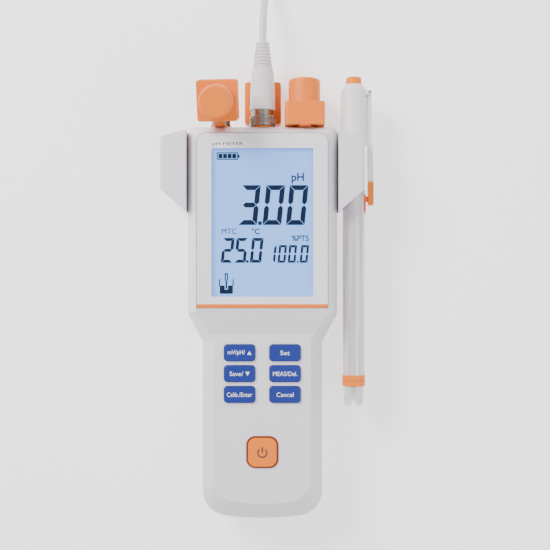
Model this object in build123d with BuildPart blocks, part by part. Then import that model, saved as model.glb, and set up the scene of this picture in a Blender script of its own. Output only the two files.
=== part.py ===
"""Hand-held ph meter with its electrode: a build123d model in millimetres.

The meter lies on its back. +X is its right side, +Y runs towards the sockets and
+Z points out of the display. The origin lies on the rear face, midway along the case.
"""
from build123d import *
from math import atan, pi, radians, tan
import os

# ---------------------------------------------------------------- case
case_length = 212.8
head_width = 81.2
grip_width = 65.0
head_length = 101.4       # from the top end to where the head starts to narrow
taper_length = 15.4
case_depth = 36.0         # rear face to the front of the head
deck_drop = 5.0           # how far the key deck lies below the front of the head
slope_length = 14.3       # slope from the head's front down to the deck
split_height = 19.0       # rear face to the joint between the shells
bevel_height = 24.0       # where the front bevel starts
rear_bevel = 3.0
wall = 2.2
top_corner_radius = 3.0
front_corner_radius = 5.5
shoulder_radius = 6.0
chin_radius = 14.0
chin_bow = 3.5            # how far the chin bulges past its corners
head_side_bevel = 5.4     # bevel insets of the front, at full depth
head_top_bevel = 4.8
grip_side_bevel = 11.1
chin_bevel = 15.6
edge_round = 1.2
fit_gap = 0.2             # clearance between pieces that do not move
slide_gap = 0.3           # clearance between pieces that slide

# ---------------------------------------------------------------- window and display
window_width = 69.8
window_length = 92.9      # with the stripe
window_margin = 5.2       # top end of the case to the window
window_thickness = 1.5
window_corner_radius = 4.6
window_groove = 0.35
stripe_height = 1.9
lens_width = 54.2
lens_length = 79.1
lens_margin = 7.9         # top of the window to the lens
lens_corner_radius = 0.6
lcd_border = 2.6          # glass hidden behind the window all round
lcd_thickness = 2.2
lcd_gap = 0.4
frame_wall = 1.4
backlight_thickness = 2.4

# ---------------------------------------------------------------- keys
key_width = 16.7
key_length = 8.9
key_radius = 1.8
key_pitch_x = 24.4
key_pitch_y = 11.2
key_proud = 1.3
key_travel = 0.6
first_key_row = 21.0      # end of the head to the middle of the first row
power_key_size = 15.4
power_key_radius = 4.1
power_key_row = 53.4      # first key row to the power key
rim_width = 0.8
rim_proud = 0.5
key_flange = 1.0
key_edge_round = 0.45

# ---------------------------------------------------------------- board and switches
board_width = 52.0
board_thickness = 1.6
board_height = 22.0       # rear face to the rear of the board
board_end_margin = 11.4   # top end of the case to the board
board_length = 170.0
board_screw_inset = 4.2
switch_size = 6.0
switch_height = 2.0
mat_thickness = 1.0
mat_border = 4.0

# ---------------------------------------------------------------- sockets and caps
socket_pitch = 23.0
jack_nose_radius = 4.8
jack_bore_radius = 4.05
jack_nose_length = 4.5
jack_flange_radius = 5.5
jack_flange_thickness = 1.0
jack_thread_radius = 4.6
jack_body_radius = 5.6
jack_depth = 7.5          # how far the jacks reach into the case
probe_bore_radius = 1.8
probe_bore_length = 13.0
probe_nose_radius = 5.2
probe_nose_length = 6.5
power_bore_radius = 3.0
power_nose_radius = 5.6
power_nose_length = 6.5
cap_size = 21.5
cap_block_length = 12.6
cap_tip_radius = 8.7
cap_tip_length = 13.5
cap_hollow_radius = 7.6
cap_hollow_depth = 13.0
cap_edge_round = 1.6
cap_swing = 104.0
cap_yaw = 1.0
cap_lift = 0.9            # underside of a closed cap to the top end of the case
low_cap_size = 20.4
low_cap_length = 23.5
low_cap_depth = 10.0
low_cap_hollow_depth = 8.4
strap_width = 6.0
hinge_offset = 1.7        # face of a cap's block to its hinge line
strap_roll_radius = 0.6
collar_thickness = 0.65
low_hinge_height = 5.6

# ---------------------------------------------------------------- plug on the centre socket
nut_radius = 7.25
nut_bore_radius = 5.8
nut_length = 5.6
nut_lift = 0.95           # top end of the case to the nut
nut_grooves = 36
nut_groove_radius = 0.38
neck_radius = 6.3
neck_length = 3.3
plug_sleeve_radius = 3.85
plug_pin_radius = 0.68
boot_length = 23.2
boot_low_radius = 6.95
boot_high_radius = 5.7
relief_length = 14.0
relief_end_radius = 3.7
relief_grooves = 7
relief_groove_depth = 0.75
relief_groove_width = 0.95
cable_radius = 2.1

# ---------------------------------------------------------------- wings
wing_reach = 14.2
wing_gap = 0.45
wing_low_height = 5.0     # rear face to the rear of the wings
wing_high_height = 33.0
wing_top_margin = 2.6     # top end of the case to the top of the wings
wing_top_fall = 3.4
wing_length = 44.0        # along the case
wing_tail_rise = 12.4
wing_round = 2.6
wing_post_radius = 3.0
wing_post_pitch = 17.0
wing_screw_radius = 1.2

# ---------------------------------------------------------------- electrode
electrode_offset = 9.05   # case side to the electrode's axis, less the wing gap
shaft_radius = 6.0
shaft_bore_radius = 5.0
shaft_length = 125.9      # from the head's underside to the ring
channel_gap = 0.6
head_radius = 7.15
electrode_head_length = 33.2
head_shoulder = 3.3
head_seat_depth = 6.8     # how deep the electrode's head sits in the wing
top_cap_radius = 4.35
top_cap_height = 4.2
ring_radius = 6.4
ring_length = 6.1
guard_radius = 5.65
guard_end_radius = 4.9
guard_length = 10.7
guard_wall = 0.8
stem_radius = 2.1
inner_wire_radius = 0.45

# ---------------------------------------------------------------- refill stopper on its lever
lever_width = 2.0
lever_depth = 4.6
lever_gap = 0.35
lever_top = 4.5           # top of the electrode's head to the lever's hinge
lever_length = 48.6
lever_tail_width = 2.9
lever_pin_radius = 0.8
stopper_width = 3.0
stopper_length = 13.0
plug_radius = 1.6
plug_height = 3.4         # the stopper's lower end to the middle of its plug
plug_seat = 1.2
grommet_radius = 2.7
grommet_height = 0.45

# ---------------------------------------------------------------- batteries
cell_radius = 7.1
cell_length = 49.2
cell_tip_radius = 2.7
cell_tip_length = 1.0
cell_gap = 0.5
cell_count = 3
bay_end_gap = 3.4
bay_wall = 2.6
bay_roof = 1.4
bay_start = 28.0          # mid-case to the upper end of the bay
door_thickness = 2.0
door_tongue = 1.5
door_lip = 0.9

contact_thickness = 0.4
spring_radius = 4.5
# ---------------------------------------------------------------- screws
screw_radius = 1.3
screw_head_radius = 2.6
screw_head_height = 1.8
screw_length = 15.0
screw_recess = 6.0
boss_radius = 4.0
post_radius = 2.4
board_screw_radius = 0.9
board_screw_head_radius = 1.9
board_screw_head_height = 1.3
board_screw_length = 3.2
boss_inset_head = 6.0
boss_inset_chin = 7.0

os.makedirs("parts", exist_ok=True)

# ---------------------------------------------------------------- places worked out from the sizes
top = case_length / 2
bottom = -case_length / 2
head_half = head_width / 2
grip_half = grip_width / 2
head_end = top - head_length
taper_end = head_end - taper_length
taper_turn = tan(atan((head_half - grip_half) / taper_length) / 2)
deck_height = case_depth - deck_drop
window_top = top - window_margin
window_low = window_top - window_length
window_rear = case_depth - window_thickness
lens_top = window_top - lens_margin
lens_middle = lens_top - lens_length / 2
key_row = head_end - first_key_row
power_row = key_row - power_key_row
board_top = board_height + board_thickness
mat_low = board_top + switch_height + 0.2
key_low = mat_low + mat_thickness + key_travel + 0.1
deck_under = deck_height - wall
socket_height = split_height
collar_seat = collar_thickness + fit_gap


def save(piece, name):
    """Label a finished piece and write its own STEP file."""
    piece.label = name
    export_step(piece, f"parts/{name}.step")


def case_plan(side=0.0, end=0.0, grip=0.0, chin=0.0, corner=top_corner_radius, low=chin_radius):
    """Outline of the case seen from the front, with its sides and ends set in."""
    bow = bottom + chin + chin_bow
    with BuildSketch() as plan:
        with BuildLine():
            Polyline(
                (grip - grip_half, bow),
                (grip - grip_half, taper_end + taper_turn * grip),
                (side - head_half, head_end + taper_turn * side),
                (side - head_half, top - end),
                (head_half - side, top - end),
                (head_half - side, head_end + taper_turn * side),
                (grip_half - grip, taper_end + taper_turn * grip),
                (grip_half - grip, bow),
            )
            ThreePointArc((grip_half - grip, bow), (0, bottom + chin), (grip - grip_half, bow))
        make_face()
        for height, radius in ((top - end, corner), (bow, low)):
            fillet(plan.vertices().filter_by(lambda corner_point: abs(corner_point.Y - height) < 0.01), radius)
    return plan.sketch


def front_form(inset):
    """Solid form of the case above the shell joint, set in all round for its cavity."""
    with BuildPart() as form:
        with BuildSketch(Plane.XY.offset(split_height)):
            add(case_plan(inset, inset, inset, inset, low=chin_radius - inset))
        extrude(amount=bevel_height - split_height)
        with BuildSketch(Plane.XY.offset(bevel_height)):
            add(case_plan(inset, inset, inset, inset, low=chin_radius - inset))
        with BuildSketch(Plane.XY.offset(case_depth - inset)):
            add(case_plan(
                head_side_bevel + inset, head_top_bevel + inset, grip_side_bevel + inset,
                chin_bevel + inset, front_corner_radius, chin_radius - chin_bow,
            ))
        loft(ruled=True)
        with BuildSketch(Plane.YZ):
            with BuildLine():
                Polyline(
                    (window_low, case_depth + 1 - inset),
                    (window_low, case_depth - inset),
                    (window_low - slope_length, deck_height - inset),
                    (bottom - 1, deck_height - inset),
                    (bottom - 1, case_depth + 1 - inset),
                    close=True,
                )
            make_face()
        extrude(amount=head_width, both=True, mode=Mode.SUBTRACT)
    return form.part


def rear_form(inset):
    """Solid form of the case below the shell joint, set in all round for its cavity."""
    with BuildPart() as form:
        with BuildSketch(Plane.XY.offset(inset)):
            add(case_plan(*[rear_bevel + inset] * 4, low=chin_radius - rear_bevel - inset))
        with BuildSketch(Plane.XY.offset(rear_bevel + inset)):
            add(case_plan(*[inset] * 4, low=chin_radius - inset))
        loft(ruled=True)
        with BuildSketch(Plane.XY.offset(rear_bevel + inset)):
            add(case_plan(*[inset] * 4, low=chin_radius - inset))
        extrude(amount=split_height - rear_bevel - inset)
    return form.part


def at_height(part, height):
    """Edges of the part being built whose middles lie at one height."""
    return part.edges().filter_by(lambda edge: abs(edge.center().Z - height) < 0.01)


# ---------------------------------------------------------------- where the screws and openings lie
case_screws = [
    (head_half - boss_inset_head, top - boss_inset_head),
    (head_half - boss_inset_head, head_end + boss_inset_head),
    (grip_half - boss_inset_chin, bottom + chin_bow + boss_inset_chin),
]
case_screws = case_screws + [(-x, y) for x, y in case_screws]
key_places = [
    (column * key_pitch_x / 2, key_row - row * key_pitch_y)
    for row in range(3)
    for column in (-1, 1)
]
sockets = [-socket_pitch, 0, socket_pitch]
wing_posts = [wing_screw_row * wing_post_pitch / 2 for wing_screw_row in (-1, 1)]
wing_middle = top - wing_top_margin - wing_length / 2
wing_post_height = (wing_low_height + split_height) / 2
bay_width = cell_count * (2 * cell_radius + cell_gap) + cell_gap
bay_length = cell_length + cell_tip_length + bay_end_gap
bay_top = -bay_start
bay_low = bay_top - bay_length
bay_middle = (bay_top + bay_low) / 2
bay_height = door_thickness + slide_gap + 2 * cell_radius + 0.6
door_half = bay_width / 2 - 0.5
door_end = bay_top + 1.2



def window_plan(low, grow=0.0):
    """Outline from the window's top down to one height, rounded at its two top corners."""
    with BuildSketch() as plan:
        with Locations((0, (window_top + low) / 2)):
            Rectangle(window_width + 2 * grow, window_top - low + 2 * grow)
        fillet(plan.vertices().group_by(Axis.Y)[-1], window_corner_radius + grow)
    return plan.sketch


window_seat = window_plan(window_low, window_groove)
front_cavity = front_form(wall)
rear_cavity = rear_form(wall)

board_high = top - board_end_margin
board_screws = [
    (side * (board_width / 2 - board_screw_inset), board_high - inset)
    for side in (-1, 1)
    for inset in (board_screw_inset, board_length - board_screw_inset)
]

# ---------------------------------------------------------------- front shell
front_solid = front_form(0)
with BuildPart() as front_shell:
    add(front_solid)
    slope_foot = at_height(front_shell.part, deck_height).filter_by(Axis.X).sort_by(Axis.Y)[-1]
    fillet(slope_foot, 4 * edge_round)
    fillet(at_height(front_shell.part, case_depth), edge_round)
    add(front_cavity, mode=Mode.SUBTRACT)
    # bosses that the case screws pull on
    with BuildSketch(Plane.XY.offset(split_height)):
        with Locations(case_screws):
            Circle(boss_radius)
    extrude(amount=deck_height - wall - split_height)
    add(front_solid, mode=Mode.INTERSECT)
    # shallow seat for the window and the stripe
    with BuildSketch(Plane.XY.offset(window_rear)):
        add(window_seat)
    extrude(amount=window_thickness + 1, mode=Mode.SUBTRACT)
    # opening for the display behind the window
    with BuildSketch(Plane.XY.offset(deck_under)):
        with Locations((0, lens_middle)):
            Rectangle(lens_width + 2 * lcd_border + 0.6, lens_length + 2 * lcd_border + 0.6)
    extrude(amount=case_depth - deck_under, mode=Mode.SUBTRACT)
    # key openings
    with BuildSketch(Plane.XY.offset(deck_under - 1)):
        with Locations(key_places):
            RectangleRounded(key_width + 2 * fit_gap, key_length + 2 * fit_gap, key_radius + fit_gap)
        with Locations((0, power_row)):
            RectangleRounded(
                power_key_size + 2 * rim_width + 2 * fit_gap,
                power_key_size + 2 * rim_width + 2 * fit_gap,
                power_key_radius + rim_width,
            )
    extrude(amount=wall + 2, mode=Mode.SUBTRACT)
    # pilot holes of the case screws
    with BuildSketch(Plane.XY.offset(split_height)):
        with Locations(case_screws):
            Circle(screw_radius)
    extrude(amount=screw_length - (split_height - screw_recess) + 1, mode=Mode.SUBTRACT)
    # upper halves of the socket holes
    with BuildSketch(Plane.XZ.offset(-top - 1)):
        with Locations([(x, socket_height) for x in sockets]):
            Circle(jack_thread_radius + fit_gap)
    extrude(amount=wall + 3, mode=Mode.SUBTRACT)
save(front_shell.part, "front_shell")

# ---------------------------------------------------------------- rear shell
with BuildPart() as rear_shell:
    add(rear_form(0))
    add(rear_cavity, mode=Mode.SUBTRACT)
    # screw bosses
    with BuildSketch(Plane.XY.offset(wall / 2)):
        with Locations(case_screws):
            Circle(boss_radius)
    extrude(amount=split_height - wall / 2)
    # battery bay box
    with BuildSketch(Plane.XY.offset(wall / 2)):
        with Locations((0, bay_middle)):
            Rectangle(bay_width + 2 * bay_wall, bay_length + 2 * bay_wall)
    extrude(amount=bay_height + bay_roof - wall / 2)
    with BuildSketch(Plane.XY.offset(door_thickness)):
        with Locations((0, bay_middle)):
            Rectangle(bay_width, bay_length)
    extrude(amount=bay_height - door_thickness, mode=Mode.SUBTRACT)
    # posts for the board, the lower pair on the roof of the bay
    for post_x, post_y in board_screws:
        post_foot = wall / 2 if post_y > bay_top else bay_height + bay_roof / 2
        with BuildSketch(Plane.XY.offset(post_foot)):
            with Locations((post_x, post_y)):
                Circle(post_radius)
        extrude(amount=board_height - post_foot)
        with BuildSketch(Plane.XY.offset(board_height)):
            with Locations((post_x, post_y)):
                Circle(board_screw_radius + 0.05)
        extrude(amount=-board_screw_length, mode=Mode.SUBTRACT)
    # slot that the battery door slides in, open at the chin
    with BuildSketch(Plane.XY.offset(-1)):
        with Locations((0, (door_end + bottom - 10) / 2)):
            Rectangle(2 * door_half + 2 * slide_gap, door_end - bottom + 10)
    extrude(amount=door_thickness + slide_gap + 1, mode=Mode.SUBTRACT)
    with BuildSketch(Plane.XY.offset(door_lip)):
        with Locations((0, (door_end + bottom - 10) / 2)):
            Rectangle(2 * (door_half + door_tongue + slide_gap), door_end - bottom + 10)
    extrude(amount=door_thickness + slide_gap - door_lip, mode=Mode.SUBTRACT)
    # screw holes, with recesses for the heads
    with BuildSketch(Plane.XY.offset(-1)):
        with Locations(case_screws):
            Circle(screw_radius + fit_gap)
    extrude(amount=split_height + 2, mode=Mode.SUBTRACT)
    with BuildSketch(Plane.XY.offset(-1)):
        with Locations(case_screws):
            Circle(screw_head_radius + fit_gap)
    extrude(amount=screw_recess + 1, mode=Mode.SUBTRACT)
    # holes for the posts of the wings, in both sides
    for side in (-1, 1):
        with BuildSketch(Plane.YZ.offset(side * (head_half + 1))):
            with Locations([(wing_middle + step, wing_post_height) for step in wing_posts]):
                Circle(wing_post_radius + fit_gap)
        extrude(amount=-side * (wall + 2), mode=Mode.SUBTRACT)
    # lower halves of the socket holes
    with BuildSketch(Plane.XZ.offset(-top - 1)):
        with Locations([(x, socket_height) for x in sockets]):
            Circle(jack_thread_radius + fit_gap)
    extrude(amount=wall + 3, mode=Mode.SUBTRACT)
    # groove for the gasket
    with BuildSketch(Plane.XY.offset(split_height - 0.8)):
        add(case_plan(*[0.7] * 4, low=chin_radius - 0.7))
        add(case_plan(*[1.5] * 4, low=chin_radius - 1.5), mode=Mode.SUBTRACT)
    extrude(amount=1, mode=Mode.SUBTRACT)
save(rear_shell.part, "rear_shell")

# ---------------------------------------------------------------- gasket between the shells
with BuildPart() as case_gasket:
    with BuildSketch(Plane.XY.offset(split_height - 0.8)):
        add(case_plan(*[0.75] * 4, low=chin_radius - 0.75))
        add(case_plan(*[1.45] * 4, low=chin_radius - 1.45), mode=Mode.SUBTRACT)
    extrude(amount=0.75)
    with BuildSketch(Plane.XZ.offset(-top - 1)):
        with Locations([(x, socket_height) for x in sockets]):
            Circle(jack_thread_radius + fit_gap)
    extrude(amount=wall + 3, mode=Mode.SUBTRACT)
save(case_gasket.part, "case_gasket")

# ---------------------------------------------------------------- window, lens and stripe
stripe_top = window_low + stripe_height
with BuildPart() as window_panel:
    with BuildSketch(Plane.XY.offset(window_rear)):
        add(window_plan(stripe_top))
        with Locations((0, lens_middle)):
            RectangleRounded(lens_width, lens_length, lens_corner_radius, mode=Mode.SUBTRACT)
    extrude(amount=window_thickness)
save(window_panel.part, "window_panel")

with BuildPart() as display_lens:
    with BuildSketch(Plane.XY.offset(window_rear)):
        with Locations((0, lens_middle)):
            RectangleRounded(lens_width, lens_length, lens_corner_radius)
    extrude(amount=window_thickness)
save(display_lens.part, "display_lens")

with BuildPart() as orange_stripe:
    with BuildSketch(Plane.XY.offset(window_rear)):
        with Locations((0, window_low + stripe_height / 2)):
            Rectangle(window_width, stripe_height)
    extrude(amount=window_thickness)
save(orange_stripe.part, "orange_stripe")

# ---------------------------------------------------------------- display behind the lens
lcd_front = window_rear - lcd_gap
lcd_rear = lcd_front - lcd_thickness
light_rear = lcd_rear - backlight_thickness
lcd_width = lens_width + 2 * lcd_border
lcd_length = lens_length + 2 * lcd_border
with BuildPart() as lcd_glass:
    with BuildSketch(Plane.XY.offset(lcd_rear)):
        with Locations((0, lens_middle)):
            Rectangle(lcd_width, lcd_length)
    extrude(amount=lcd_thickness)
save(lcd_glass.part, "lcd_glass")

with BuildPart() as backlight:
    with BuildSketch(Plane.XY.offset(light_rear)):
        with Locations((0, lens_middle)):
            Rectangle(lcd_width, lcd_length)
    extrude(amount=backlight_thickness)
save(backlight.part, "backlight")

with BuildPart() as lcd_frame:
    with BuildSketch(Plane.XY.offset(board_top)):
        with Locations((0, lens_middle)):
            Rectangle(lcd_width + 0.4, lcd_length + 0.4)
            Rectangle(lcd_width - 4 * frame_wall, lcd_length - 4 * frame_wall, mode=Mode.SUBTRACT)
    extrude(amount=light_rear - board_top)
save(lcd_frame.part, "lcd_frame")

# ---------------------------------------------------------------- keys
key_names = ["key_up", "key_set", "key_down", "key_measure", "key_enter", "key_cancel"]


def key_cap(place, width, length, radius, height):
    """One key: its cap stands through the deck and its flange stays under it."""
    with BuildPart() as key:
        with BuildSketch(Plane.XY.offset(key_low)):
            with Locations(place):
                RectangleRounded(width, length, radius)
        extrude(amount=height - key_low)
        fillet(key.edges().group_by(Axis.Z)[-1], key_edge_round)
        with BuildSketch(Plane.XY.offset(key_low)):
            with Locations(place):
                Rectangle(width + 2 * key_flange, length + 2 * key_flange)
        extrude(amount=deck_under - key_low - 0.1)
    return key.part


for key_name, key_place in zip(key_names, key_places):
    cap = key_cap(key_place, key_width, key_length, key_radius, deck_height + key_proud)
    save(cap, key_name)
power_key = key_cap(
    (0, power_row), power_key_size, power_key_size, power_key_radius, deck_height + key_proud
)
save(power_key, "power_key")

with BuildPart() as power_key_rim:
    with BuildSketch(Plane.XY.offset(deck_under + 0.05)):
        with Locations((0, power_row)):
            RectangleRounded(
                power_key_size + 2 * rim_width,
                power_key_size + 2 * rim_width,
                power_key_radius + rim_width - fit_gap,
            )
            RectangleRounded(
                power_key_size + 2 * fit_gap,
                power_key_size + 2 * fit_gap,
                power_key_radius + fit_gap,
                mode=Mode.SUBTRACT,
            )
    extrude(amount=deck_height + rim_proud - deck_under - 0.05)
save(power_key_rim.part, "power_key_rim")

# ---------------------------------------------------------------- key mat, switches and board
mat_width = key_pitch_x + key_width + 2 * key_flange
mat_high = key_row + key_length / 2 + mat_border
mat_end = power_row - power_key_size / 2 - mat_border
with BuildPart() as key_mat:
    with BuildSketch(Plane.XY.offset(mat_low)):
        with Locations((0, (mat_high + mat_end) / 2)):
            Rectangle(mat_width, mat_high - mat_end)
    extrude(amount=mat_thickness)
    fillet(key_mat.edges().filter_by(Axis.Z), mat_border / 2)
save(key_mat.part, "key_mat")

with BuildPart() as key_switches:
    with BuildSketch(Plane.XY.offset(board_top)):
        with Locations(key_places + [(0, power_row)]):
            Rectangle(switch_size, switch_size)
    extrude(amount=switch_height / 2)
    with BuildSketch(Plane.XY.offset(board_top + switch_height / 2)):
        with Locations(key_places + [(0, power_row)]):
            Circle(switch_size / 4)
    extrude(amount=switch_height / 2)
save(key_switches.part, "key_switches")

with BuildPart() as main_board:
    with BuildSketch(Plane.XY.offset(board_height)):
        with Locations((0, board_high - board_length / 2)):
            RectangleRounded(board_width, board_length, 1.5)
        with Locations(board_screws):
            Circle(board_screw_radius + fit_gap, mode=Mode.SUBTRACT)
    extrude(amount=board_thickness)
save(main_board.part, "main_board")

with BuildPart() as board_chips:
    with BuildSketch(Plane.XY.offset(board_height)):
        with Locations((0, lens_middle)):
            Rectangle(14, 14)
        with Locations((-14, lens_middle + 22), (14, lens_middle + 22)):
            Rectangle(5, 6.2)
        with Locations((13, lens_middle - 18)):
            Rectangle(8, 12)
    extrude(amount=-1.4)
    with BuildSketch(Plane.XY.offset(board_height)):
        with Locations((-13, lens_middle - 20)):
            Circle(4.5)
    extrude(amount=-3.2)
save(board_chips.part, "board_chips")

# ---------------------------------------------------------------- sockets in the top end
def jack(x, nose_radius, nose_length, bore_radius, bore_depth):
    """Socket clamped through the top wall: body, flange and a nose with its bore."""
    face = Plane.XZ.offset(-top)
    with BuildPart() as socket:
        with BuildSketch(face.offset(wall + 2 * fit_gap)):
            with Locations((x, socket_height)):
                Circle(jack_body_radius)
        extrude(amount=jack_depth - wall)
        with BuildSketch(face.offset(wall + 2 * fit_gap)):
            with Locations((x, socket_height)):
                Circle(jack_thread_radius)
        extrude(amount=-wall - 2 * fit_gap - collar_seat)
        with BuildSketch(face.offset(-collar_seat)):
            with Locations((x, socket_height)):
                Circle(jack_flange_radius)
        extrude(amount=-jack_flange_thickness)
        with BuildSketch(face.offset(-collar_seat - jack_flange_thickness)):
            with Locations((x, socket_height)):
                Circle(nose_radius)
        extrude(amount=-nose_length)
        with BuildSketch(face.offset(-collar_seat - jack_flange_thickness - nose_length)):
            with Locations((x, socket_height)):
                Circle(bore_radius)
        extrude(amount=bore_depth, mode=Mode.SUBTRACT)
    return socket.part


probe_jack = jack(-socket_pitch, probe_nose_radius, probe_nose_length, probe_bore_radius,
                  probe_bore_length)
save(probe_jack, "probe_jack")
bnc_jack = jack(0, jack_nose_radius, jack_nose_length, jack_bore_radius, jack_nose_length)
save(bnc_jack, "bnc_jack")
power_jack = jack(socket_pitch, power_nose_radius, power_nose_length, power_bore_radius,
                  power_nose_length)
save(power_jack, "power_jack")

# ---------------------------------------------------------------- rubber caps on straps
hinge_height = socket_height + cap_size / 2 + hinge_offset
hinge_rest = top + cap_lift


def swung(point, pivot, hinge, angle):
    """Where a point of a closed cap lies once the cap has swung about its hinge."""
    return pivot + (point - pivot).rotate(Axis((0, 0, 0), hinge), angle)


def tall_cap(x, angle, yaw):
    """Square block with a round tip, hollow from below, on a strap along its front edge."""
    pivot = Vector(x, hinge_rest, hinge_height)
    hinge = Vector(1, 0, 0).rotate(Axis.Y, -yaw)
    base = swung(Vector(x, hinge_rest, socket_height), pivot, hinge, angle)
    along = Vector(0, 1, 0).rotate(Axis((0, 0, 0), hinge), angle)
    seat = Plane(origin=base, x_dir=Vector(1, 0, 0).rotate(Axis((0, 0, 0), hinge), angle), z_dir=along)
    with BuildPart() as cap_part:
        with BuildSketch(seat):
            RectangleRounded(cap_size, cap_size, cap_edge_round)
        extrude(amount=cap_block_length)
        fillet(cap_part.faces().filter_by(seat).sort_by_distance(seat.origin)[-1].edges(),
               cap_edge_round / 2)
        with BuildSketch(seat.offset(cap_block_length - 1)):
            Circle(cap_tip_radius)
        extrude(amount=cap_tip_length + 1)
        fillet(cap_part.faces().filter_by(seat).sort_by_distance(seat.origin)[-1].edges(),
               cap_edge_round)
        with BuildSketch(seat):
            Circle(cap_hollow_radius)
        extrude(amount=cap_hollow_depth, mode=Mode.SUBTRACT)
    return cap_part.part


right_cap = tall_cap(socket_pitch, 0, 0)
save(right_cap, "right_cap")
left_cap = tall_cap(-socket_pitch, cap_swing, cap_yaw)
save(left_cap, "left_cap")

# the centre cap folds back under the plug, its hollow facing forward
low_cap_rear = 0.6
low_cap_start = top + 4.2
with BuildPart() as centre_cap:
    with BuildSketch(Plane.XY.offset(low_cap_rear)):
        with Locations((0, low_cap_start + low_cap_length / 2)):
            RectangleRounded(low_cap_size, low_cap_length, cap_edge_round)
    extrude(amount=low_cap_depth)
    fillet(centre_cap.edges().group_by(Axis.Z)[-1], cap_edge_round / 2)
    fillet(centre_cap.edges().group_by(Axis.Z)[0], cap_edge_round / 2)
    with BuildSketch(Plane.XY.offset(low_cap_rear + low_cap_depth)):
        with Locations((0, low_cap_start + low_cap_length / 2 + 0.6)):
            Circle(cap_hollow_radius)
    extrude(amount=-low_cap_hollow_depth, mode=Mode.SUBTRACT)
save(centre_cap.part, "centre_cap")

# rubber collars under the sockets' flanges, each with a tongue that ends in a hinge roll
with BuildPart() as cap_collars:
    with BuildSketch(Plane.XZ.offset(-top - fit_gap / 2)):
        with Locations([(x, socket_height) for x in sockets]):
            Circle(jack_flange_radius + 0.6)
        for x in (-socket_pitch, socket_pitch):
            with Locations((x, (socket_height + hinge_height) / 2)):
                Rectangle(strap_width, hinge_height - socket_height)
        with Locations((0, (socket_height + low_hinge_height) / 2)):
            Rectangle(strap_width, socket_height - low_hinge_height)
        with Locations([(x, socket_height) for x in sockets]):
            Circle(jack_thread_radius + fit_gap / 2, mode=Mode.SUBTRACT)
    extrude(amount=-collar_thickness)
    for x, height, yaw in (
        (-socket_pitch, hinge_height, cap_yaw),
        (socket_pitch, hinge_height, 0),
        (0, low_hinge_height, 0),
    ):
        roll = Vector(1, 0, 0).rotate(Axis.Y, -yaw)
        with BuildSketch(Plane(origin=Vector(x, hinge_rest, height) - roll * (strap_width / 2), z_dir=roll)):
            Circle(strap_roll_radius)
        extrude(amount=strap_width)
save(cap_collars.part, "cap_collars")

# ---------------------------------------------------------------- plug on the centre socket
nut_start = top + nut_lift
nut_end = nut_start + nut_length
neck_end = nut_end + neck_length
boot_end = neck_end + boot_length
relief_end = boot_end + relief_length


def turned(points, x=0.0):
    """A turned piece along Y at one x, from (radius, distance along Y) points."""
    with BuildPart() as piece:
        with BuildSketch(Plane((x, 0, socket_height))):
            with BuildLine():
                Polyline(points, close=True)
            make_face()
        revolve(axis=Axis((x, 0, socket_height), (0, 1, 0)))
    return piece.part


nut_blank = turned([
    (nut_bore_radius, nut_start), (nut_radius - 0.4, nut_start), (nut_radius, nut_start + 0.4),
    (nut_radius, nut_end - 0.5), (nut_radius - 0.5, nut_end), (plug_sleeve_radius + 1.2, nut_end),
    (plug_sleeve_radius + 1.2, nut_end - 0.8), (nut_bore_radius, nut_end - 0.8),
])
with BuildPart() as coupling_nut:
    add(nut_blank)
    with BuildSketch(Plane.XZ.offset(-nut_start - 1.2)):
        with Locations((0, socket_height)):
            with PolarLocations(nut_radius + 0.05, nut_grooves):
                Circle(nut_groove_radius)
    extrude(amount=-nut_length + 2.4, mode=Mode.SUBTRACT)
save(coupling_nut.part, "coupling_nut")

sleeve_start = top + collar_seat + jack_flange_thickness + 2 * fit_gap
plug_body = turned([
    (plug_pin_radius + 1.6, sleeve_start), (plug_sleeve_radius, sleeve_start),
    (plug_sleeve_radius, nut_end + 0.1), (neck_radius, nut_end + 0.1), (neck_radius, neck_end),
    (0, neck_end), (0, nut_end - 0.6), (plug_pin_radius + 1.6, nut_end - 0.6),
])
save(plug_body, "plug_body")

plug_pin = turned([
    (0, sleeve_start + 0.8), (plug_pin_radius, sleeve_start + 1.2), (plug_pin_radius, nut_end - 0.6),
    (0, nut_end - 0.6),
])
save(plug_pin, "plug_pin")

plug_boot = turned([
    (0, neck_end), (boot_low_radius - 0.4, neck_end), (boot_low_radius, neck_end + 0.4),
    (boot_low_radius, neck_end + 6), (boot_high_radius + 0.5, boot_end - 3),
    (boot_high_radius, boot_end - 0.6), (boot_high_radius - 0.6, boot_end), (0, boot_end),
])
save(plug_boot, "plug_boot")

relief_pitch = relief_length / (relief_grooves + 0.5)
relief_fall = (boot_high_radius - 0.3 - relief_end_radius) / relief_length
relief_points = [(0, boot_end), (boot_high_radius - 0.3, boot_end)]
for groove in range(relief_grooves):
    start = (groove + 0.5) * relief_pitch
    outer = boot_high_radius - 0.3 - relief_fall * start
    inner = outer - relief_groove_depth
    relief_points += [
        (outer, boot_end + start),
        (inner, boot_end + start + 0.15),
        (inner, boot_end + start + relief_groove_width - 0.15),
        (outer - relief_fall * relief_groove_width, boot_end + start + relief_groove_width),
    ]
relief_points += [(relief_end_radius, relief_end), (0, relief_end)]
strain_relief = turned(relief_points)
save(strain_relief, "strain_relief")

# ---------------------------------------------------------------- wings
electrode_x = head_half + wing_gap + electrode_offset
wing_inner = head_half + wing_gap
wing_outer = wing_inner + wing_reach
wing_top = top - wing_top_margin
wing_low = wing_top - wing_length
channel_radius = shaft_radius + channel_gap


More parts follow.
